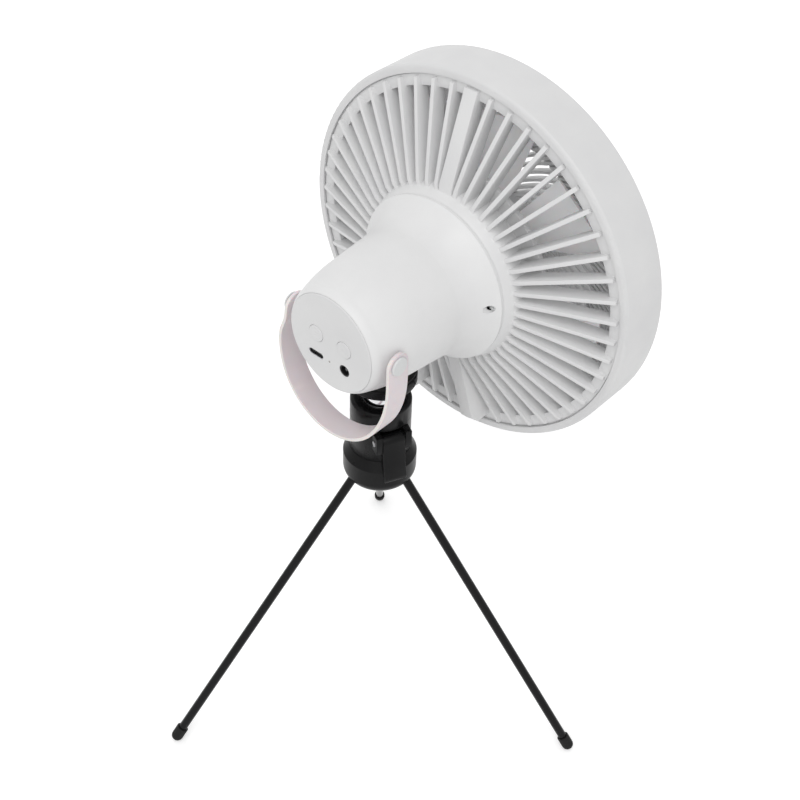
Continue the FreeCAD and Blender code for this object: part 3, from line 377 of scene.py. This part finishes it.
BOARD_GREEN = Finish("board_green_mask", (0.02, 0.16, 0.06), (0.015, 0.13, 0.05), 0.35,
                     Texture.FINE, coat=0.3)
LENS_WHITE = Finish("lens_frosted", (0.76, 0.76, 0.74), (0.73, 0.73, 0.71), 0.3,
                    Texture.FINE, subsurface=0.3, painted_glow=0.05)
SOCKET_BLACK = Finish("socket_black_plastic", (0.010, 0.010, 0.010), (0.015, 0.015, 0.015),
                      0.45, Texture.FINE, specular=0.25)
SOCKET_PIN = Finish("socket_pin_dark_metal", (0.16, 0.16, 0.165), (0.13, 0.13, 0.135), 0.4,
                    Texture.FINE, metallic=1.0)
LIGHT_CLEAR = Finish("status_light_clear", (0.35, 0.33, 0.30), (0.30, 0.28, 0.26), 0.25,
                     Texture.FINE)


class Workshop:
    """Operators on one object at a time, as a person would use them by hand."""

    # Share of a ring's height that is left when it is flattened.
    RING_HEIGHT = 0.75
    # Corners of loose triangles closer than this, in metres, are one corner.
    MERGE_DISTANCE = 0.000002
    # Triangles that meet at less than this many degrees become one flat face.
    FLAT_ANGLE = 0.5

    @staticmethod
    def clear() -> None:
        """Deselect everything."""
        if bpy.context.object and bpy.context.object.mode != "OBJECT":
            bpy.ops.object.mode_set(mode="OBJECT")
        bpy.ops.object.select_all(action="DESELECT")

    @classmethod
    def take(cls, piece: bpy.types.Object) -> None:
        """Make one object the selected and active one.

        Args:
            piece: The object.
        """
        cls.clear()
        piece.select_set(True)
        bpy.context.view_layer.objects.active = piece

    @classmethod
    def bevel(cls, piece: bpy.types.Object, width: float, segments: int = 2,
              angle: float = 35.0) -> None:
        """Round the sharp edges with an applied bevel.

        Args:
            piece: The mesh object.
            width: Bevel width in millimetres.
            segments: Steps of the rounding.
            angle: Edges sharper than this many degrees are rounded.
        """
        cls.take(piece)
        modifier = piece.modifiers.new("Rounded edges", "BEVEL")
        modifier.width = width * MM
        modifier.segments = segments
        modifier.limit_method = "ANGLE"
        modifier.angle_limit = math.radians(angle)
        modifier.use_clamp_overlap = True
        modifier.harden_normals = False
        bpy.ops.object.modifier_apply(modifier=modifier.name)

    @classmethod
    def settle(cls, piece: bpy.types.Object, smooth: float = 30.0) -> None:
        """Apply the place to the mesh and shade it smooth up to an angle.

        Args:
            piece: The mesh object.
            smooth: Angle in degrees below which the shading is smooth.
        """
        cls.take(piece)
        bpy.ops.object.transform_apply(location=True, rotation=True, scale=True)
        bpy.ops.object.shade_smooth_by_angle(angle=math.radians(smooth), keep_sharp_edges=False)

    @classmethod
    def finish(cls, piece: bpy.types.Object, name: str, body: str, finish: Finish,
               slot: str) -> bpy.types.Object:
        """Name, dress and attach a piece.

        Args:
            piece: The finished object.
            name: Its name.
            body: The body it rides on.
            finish: Its surface.
            slot: The record's material slot; not used.

        Returns:
            The same object.
        """
        piece.name = name
        piece.data.materials.clear()
        piece.data.materials.append(finish.material())
        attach(piece, body)
        LOG.info("made %s on %s with %d faces", name, body, len(piece.data.polygons))
        return piece

    @classmethod
    def ring(cls, centre: Point, radius: float, thickness: float, rotation: Point,
             sides: int = 96, section: int = 10) -> bpy.types.Object:
        """Add a slim ring whose section is then flattened by hand.

        Args:
            centre: Middle of the ring.
            radius: Middle radius in millimetres.
            thickness: Radius of the section in millimetres.
            rotation: Turn of the ring's axis in radians.
            sides: Steps round the ring.
            section: Steps round the section.

        Returns:
            The new object.
        """
        cls.clear()
        bpy.ops.mesh.primitive_torus_add(
            location=centre, rotation=rotation, major_radius=radius * MM,
            minor_radius=thickness * MM, major_segments=sides, minor_segments=section)
        piece = bpy.context.object
        bpy.ops.object.mode_set(mode="EDIT")
        bpy.ops.mesh.select_all(action="SELECT")
        bpy.ops.transform.resize(value=(1.0, 1.0, cls.RING_HEIGHT), orient_type="LOCAL",
                                 center_override=centre)
        bpy.ops.object.mode_set(mode="OBJECT")
        cls.settle(piece)
        return piece

    @classmethod
    def softened(cls, node: str, width: float, segments: int = 2, angle: float = 40.0,
                 smooth: float = 40.0) -> bpy.types.Object:
        """Copy a CAD node, merge its loose triangles and round its edges.

        Args:
            node: Name of the node.
            width: Bevel width in millimetres.
            segments: Steps of the rounding.
            angle: Edges sharper than this many degrees are rounded.
            smooth: Shading angle in degrees.

        Returns:
            The new object, which replaces the node.
        """
        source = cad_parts[node]
        piece = bpy.data.objects.new(node + "_soft", source.data.copy())
        bpy.context.scene.collection.objects.link(piece)
        cls.take(piece)
        bpy.ops.object.mode_set(mode="EDIT")
        bpy.ops.mesh.select_all(action="SELECT")
        bpy.ops.mesh.remove_doubles(threshold=cls.MERGE_DISTANCE)
        bpy.ops.mesh.dissolve_limited(angle_limit=math.radians(cls.FLAT_ANGLE))
        bpy.ops.object.mode_set(mode="OBJECT")
        cls.bevel(piece, width, segments, angle)
        cls.settle(piece, smooth)
        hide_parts(node)
        return piece


@dataclass
class SubAssembly:
    """A group of CAD nodes with their finishes; children add pieces of their own."""

    title: str
    finishes: dict[str, Finish]
    made: list[bpy.types.Object] = field(default_factory=list)

    def dress(self) -> None:
        """Give every carried-over node its finish."""
        for node, finish in self.finishes.items():
            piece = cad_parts[node]
            for socket in piece.material_slots:
                socket.material = finish.material()
            LOG.info("%s: %s wears %s", self.title, node, finish.name)

    def model(self) -> None:
        """Make the pieces that the solids don't carry; the plain group has none."""

    def build(self) -> None:
        """Dress the nodes, then model the extra pieces."""
        self.dress()
        self.model()


@dataclass
class FanHead(SubAssembly):
    """Ring, grilles, impeller, motor and lamp; the sizes are in millimetres."""

    grille_rounding: float = 0.35
    shell_rounding: float = 0.3
    shell_smoothing: float = 30.0
    lens_ring_radii: tuple[float, ...] = (9.0, 18.0, 25.2)
    lens_ring_thickness: float = 0.35
    lens_ring_sink: float = 0.12

    def model(self) -> None:
        """Round the edges of the rear grille and the ring, and put rings on the lamp lens."""
        grille = Workshop.softened("rear_grille", self.grille_rounding)
        self.made.append(Workshop.finish(grille, "rear_grille_soft", "fan", GRILLE_WHITE,
                                         "white_shell"))
        shell = Workshop.softened("ring_shell", self.shell_rounding, smooth=self.shell_smoothing)
        self.made.append(Workshop.finish(shell, "ring_shell_soft", "fan", RING_WHITE,
                                         "white_shell"))
        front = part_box("lamp_lens")[0][1]
        centre = (AXIS_X, front + self.lens_ring_sink * MM, AXIS_Z)
        for number, radius in enumerate(self.lens_ring_radii, start=1):
            ring = Workshop.ring(centre, radius, self.lens_ring_thickness, ALONG_FAN)
            self.made.append(Workshop.finish(ring, f"lens_ring_{number}", "fan", LENS_WHITE,
                                             "lamp_diffuser"))


@dataclass
class RearHousing(SubAssembly):
    """Housing, end panel with its buttons and sockets, cells and board; in millimetres."""

    button_spacing: float = 8.2
    button_height: float = 1.3
    ring_radius: float = 2.7
    ring_thickness: float = 0.14
    ring_sink: float = 0.03
    dot_radius: float = 0.7
    dot_depth: float = 0.24
    dot_rounding: float = 0.08

    def model(self) -> None:
        """Put a plain raised ring and a dot on each button."""
        for side, name in ((1, "fan_button"), (-1, "light_button")):
            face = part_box(name)[1][1]
            centre = (AXIS_X + side * self.button_spacing * MM, face - self.ring_sink * MM,
                      AXIS_Z + self.button_height * MM)
            ring = Workshop.ring(centre, self.ring_radius, self.ring_thickness, ALONG_FAN,
                                 sides=64, section=8)
            for piece, part in ((ring, "_ring"), (self._dot(centre), "_dot")):
                self.made.append(Workshop.finish(piece, name + part, name + "_body",
                                                 PANEL_WHITE, "white_panel"))

    def _dot(self, centre: Point) -> bpy.types.Object:
        """Model the small domed dot in the middle of a button.

        Args:
            centre: Middle of the button's face.

        Returns:
            The new dot.
        """
        Workshop.clear()
        bpy.ops.mesh.primitive_cylinder_add(
            vertices=32, radius=self.dot_radius * MM, depth=self.dot_depth * MM,
            location=centre, rotation=ALONG_FAN)
        dot = bpy.context.object
        Workshop.bevel(dot, self.dot_rounding)
        Workshop.settle(dot)
        return dot


@dataclass
class StrapHandle(SubAssembly):
    """The hanging strap with soft edges, and its two pins."""

    rounding: float = 0.5
    rounded_angle: float = 50.0
    # A face is part of the narrow edge, which gets the painted highlight, where its normal leans
    # this far along the fan's axis.
    edge_lean: float = 0.6

    def model(self) -> None:
        """Replace the plain strap by one with rounded edges, and paint a highlight on those
        edges.
        """
        strap = Workshop.softened("strap_handle", self.rounding, segments=3,
                                  angle=self.rounded_angle)
        self.made.append(Workshop.finish(strap, "strap_handle_soft", "strap", STRAP_PINK,
                                         "pink_strap"))
        self._painted_edge_highlight(strap)

    def _painted_edge_highlight(self, strap: bpy.types.Object) -> None:
        """Paint a highlight on the strap's narrow edges: a paler colour on the faces that lean
        along the fan's axis.

        Args:
            strap: The finished strap.
        """
        strap.data.materials.append(STRAP_EDGE_HIGHLIGHT.material())
        Workshop.take(strap)
        bpy.ops.object.mode_set(mode="EDIT")
        bpy.ops.mesh.select_mode(type="FACE")
        bpy.ops.mesh.select_all(action="DESELECT")
        bpy.ops.object.mode_set(mode="OBJECT")
        for face in strap.data.polygons:
            face.select = abs(face.normal.y) > self.edge_lean
        bpy.ops.object.mode_set(mode="EDIT")
        strap.active_material_index = 1
        bpy.ops.object.material_slot_assign()
        bpy.ops.object.mode_set(mode="OBJECT")


@dataclass
class TripodHead(SubAssembly):
    """Platform, ball, barrel, lever and leg collar; the sizes are in millimetres."""

    # Node, the body it rides on and the width of its rounding.
    rounded: tuple[tuple[str, str, float], ...] = (
        ("ball_barrel", "tripod_base", 0.3), ("locking_lever", "lever", 0.7),
        ("platform_stem", "head", 0.35))
    band_drop: float = 9.6
    band_radius: float = 14.15
    band_thickness: float = 0.4

    def model(self) -> None:
        """Round the head's edges and put the thin band round the barrel."""
        for node, body, width in self.rounded:
            piece = Workshop.softened(node, width)
            self.made.append(Workshop.finish(piece, node + "_soft", body, HEAD_BLACK,
                                             "black_plastic"))
        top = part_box("ball_barrel")[1][2]
        centre = (AXIS_X, TRIPOD_Y, top - self.band_drop * MM)
        band = Workshop.ring(centre, self.band_radius, self.band_thickness, UPRIGHT)
        self.made.append(Workshop.finish(band, "barrel_band", "tripod_base", HEAD_BLACK,
                                         "black_plastic"))


@dataclass(frozen=True)
class Lamp:
    """A soft distant lamp.

    Attributes:
        name: The lamp's name.
        tilt: How far it leans from straight down, in degrees.
        heading: Its turn about the vertical, in degrees.
        strength: Its strength.
        width: Its angular size in degrees.
    """

    name: str
    tilt: float
    heading: float
    strength: float
    width: float

    def build(self) -> None:
        """Add the lamp to the scene."""
        Workshop.clear()
        turn = (math.radians(self.tilt), 0.0, math.radians(self.heading))
        bpy.ops.object.light_add(type="SUN", location=(0.0, 0.0, 2.0), rotation=turn)
        lamp = bpy.context.object
        lamp.name = self.name
        lamp.data.energy = self.strength
        lamp.data.angle = math.radians(self.width)


@dataclass
class Studio:
    """Floor, light and camera of the picture."""

    camera_place: Point = (-0.298914, 0.332149, 0.606730)
    camera_right: Point = (-0.73764, -0.67468, 0.02650)
    camera_up: Point = (0.46574, -0.48001, 0.74342)
    lens: float = 60.49
    sensor_width: float = 36.0
    world_light: float = 0.68
    lamps: tuple[Lamp, ...] = (Lamp("key_lamp", 38.0, 215.0, 1.12, 50.0),
                               Lamp("fill_lamp", 60.0, 60.0, 0.28, 70.0))
    floor_colour: Colour = (0.86, 0.86, 0.86)
    # Light the floor adds to what is seen of it, so that it reads white.
    floor_lift: float = 0.30
    # Size and height of the floor in metres.
    floor_size: float = 8.0
    floor_level: float = -0.0002

    def build(self) -> None:
        """Make the world, floor, lamps and camera."""
        scene = bpy.context.scene
        scene.view_settings.view_transform = "Standard"
        self._world(scene)
        self._floor()
        for lamp in self.lamps:
            lamp.build()
        self._camera(scene)

    def _world(self, scene: bpy.types.Scene) -> None:
        """Even grey light for the object, white for what the eye, gloss and glass see.

        Args:
            scene: The scene that gets the world.
        """
        world = bpy.data.worlds.new("studio_world")
        scene.world = world
        world.use_nodes = True
        tree = world.node_tree
        tree.nodes.clear()
        even = ShaderTools.node(tree, "ShaderNodeBackground", Color=WHITE,
                                Strength=self.world_light)
        white = ShaderTools.node(tree, "ShaderNodeBackground", Color=WHITE, Strength=1.0)
        self._split(tree, "ShaderNodeOutputWorld", even, white)

    @staticmethod
    def _split(tree: bpy.types.NodeTree, end: str, lit: bpy.types.Node,
               seen: bpy.types.Node) -> None:
        """Send one shader to what is lit and another to what is seen, and wire the output.

        Args:
            tree: The tree that gets the nodes.
            end: Type name of the output node.
            lit: Shader for the light that falls on things.
            seen: Shader for camera, glossy and transmission rays.
        """
        path = tree.nodes.new("ShaderNodeLightPath")
        mask = path.outputs["Is Camera Ray"]
        for label in ("Is Glossy Ray", "Is Transmission Ray"):
            mask = ShaderTools.joined(tree, "MAXIMUM", mask, path.outputs[label])
        mix = tree.nodes.new("ShaderNodeMixShader")
        for source, socket in zip((mask, lit.outputs[0], seen.outputs[0]), mix.inputs):
            tree.links.new(source, socket)
        tree.links.new(mix.outputs[0], tree.nodes.new(end).inputs["Surface"])

    def _floor(self) -> None:
        """Make a wide pale floor that reads white and keeps the shadow."""
        Workshop.clear()
        bpy.ops.mesh.primitive_plane_add(size=self.floor_size,
                                         location=(0.0, 0.0, self.floor_level))
        floor = bpy.context.object
        floor.name = "studio_floor"
        material = bpy.data.materials.new("studio_floor_white")
        material.use_nodes = True
        tree = material.node_tree
        tree.nodes.clear()
        matt = ShaderTools.node(tree, "ShaderNodeBsdfDiffuse", Color=(*self.floor_colour, 1.0))
        lift = ShaderTools.node(tree, "ShaderNodeEmission", Color=WHITE,
                                Strength=self.floor_lift)
        both = tree.nodes.new("ShaderNodeAddShader")
        tree.links.new(matt.outputs[0], both.inputs[0])
        tree.links.new(lift.outputs[0], both.inputs[1])
        self._split(tree, "ShaderNodeOutputMaterial", matt, both)
        floor.data.materials.append(material)

    def _camera(self, scene: bpy.types.Scene) -> None:
        """Put the camera at the photograph's place.

        Args:
            scene: The scene that gets the camera.
        """
        Workshop.clear()
        bpy.ops.object.camera_add()
        camera = bpy.context.object
        camera.name = "photo_camera"
        camera.data.lens = self.lens
        camera.data.sensor_width = self.sensor_width
        right = Vector(self.camera_right).normalized()
        up = Vector(self.camera_up)
        back = right.cross(up).normalized()
        up = back.cross(right)
        turn = Matrix((right, up, back)).transposed().to_4x4()
        camera.matrix_world = Matrix.Translation(Vector(self.camera_place)) @ turn
        scene.camera = camera


def sub_assemblies() -> tuple[SubAssembly, ...]:
    """List the fan's sub-assemblies with their finishes.

    Returns:
        The sub-assemblies in building order.
    """
    legs = {f"{name}_{number}": finish
            for name, finish in (("leg", ROD_BLACK), ("foot", FOOT_BLACK), ("leg_pin", PIN_STEEL))
            for number in (1, 2, 3)}
    return (
        FanHead("fan head", {
            "ring_shell": RING_WHITE, "rear_grille": GRILLE_WHITE, "front_grille": GRILLE_WHITE,
            "impeller": BLADE_PALE, "rotor_cup": MOTOR_METAL, "motor_stator": MOTOR_METAL,
            "motor_shaft": PIN_STEEL, "shaft_bearing": PIN_STEEL, "lamp_lens": LENS_WHITE,
            "led_board": BOARD_GREEN,
        }),
        RearHousing("rear housing", {
            "motor_housing": HOUSING_WHITE, "end_panel": PANEL_WHITE, "fan_button": PANEL_WHITE,
            "light_button": PANEL_WHITE, "usb_c_shell": PIN_STEEL, "usb_c_tongue": SOCKET_BLACK,
            "dc_jack": SOCKET_BLACK, "dc_pin": SOCKET_PIN, "status_light": LIGHT_CLEAR,
            "battery_cell_1": CELL_BLUE, "battery_cell_2": CELL_BLUE, "battery_cell_3": CELL_BLUE,
            "front_battery_holder": GRILLE_WHITE, "rear_battery_holder": GRILLE_WHITE,
            "control_board": BOARD_GREEN, "threaded_insert": INSERT_BRASS,
            "housing_screw_left": PIN_WHITE, "housing_screw_right": PIN_WHITE,
        }),
        StrapHandle("strap", {
            "strap_handle": STRAP_PINK, "strap_pin_left": PIN_WHITE, "strap_pin_right": PIN_WHITE,
        }),
        TripodHead("tripod head", {
            "platform_stem": HEAD_BLACK, "platform_pad": FOOT_BLACK,
            "quarter_inch_screw": PIN_STEEL, "head_ball": BALL_CHROME,
            "ball_barrel": HEAD_BLACK, "ball_seat": SOCKET_BLACK, "lever_pin": PIN_STEEL,
            "locking_lever": HEAD_BLACK, "leg_collar": HEAD_BLACK, "collar_screw": PIN_STEEL,
        }),
        SubAssembly("legs", legs),
    )


def main() -> None:
    """Build the scene."""
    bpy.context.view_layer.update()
    Studio().build()
    for group in sub_assemblies():
        group.build()
        LOG.info("%s done, %d pieces of its own", group.title, len(group.made))


if __name__ == "__main__":
    main()
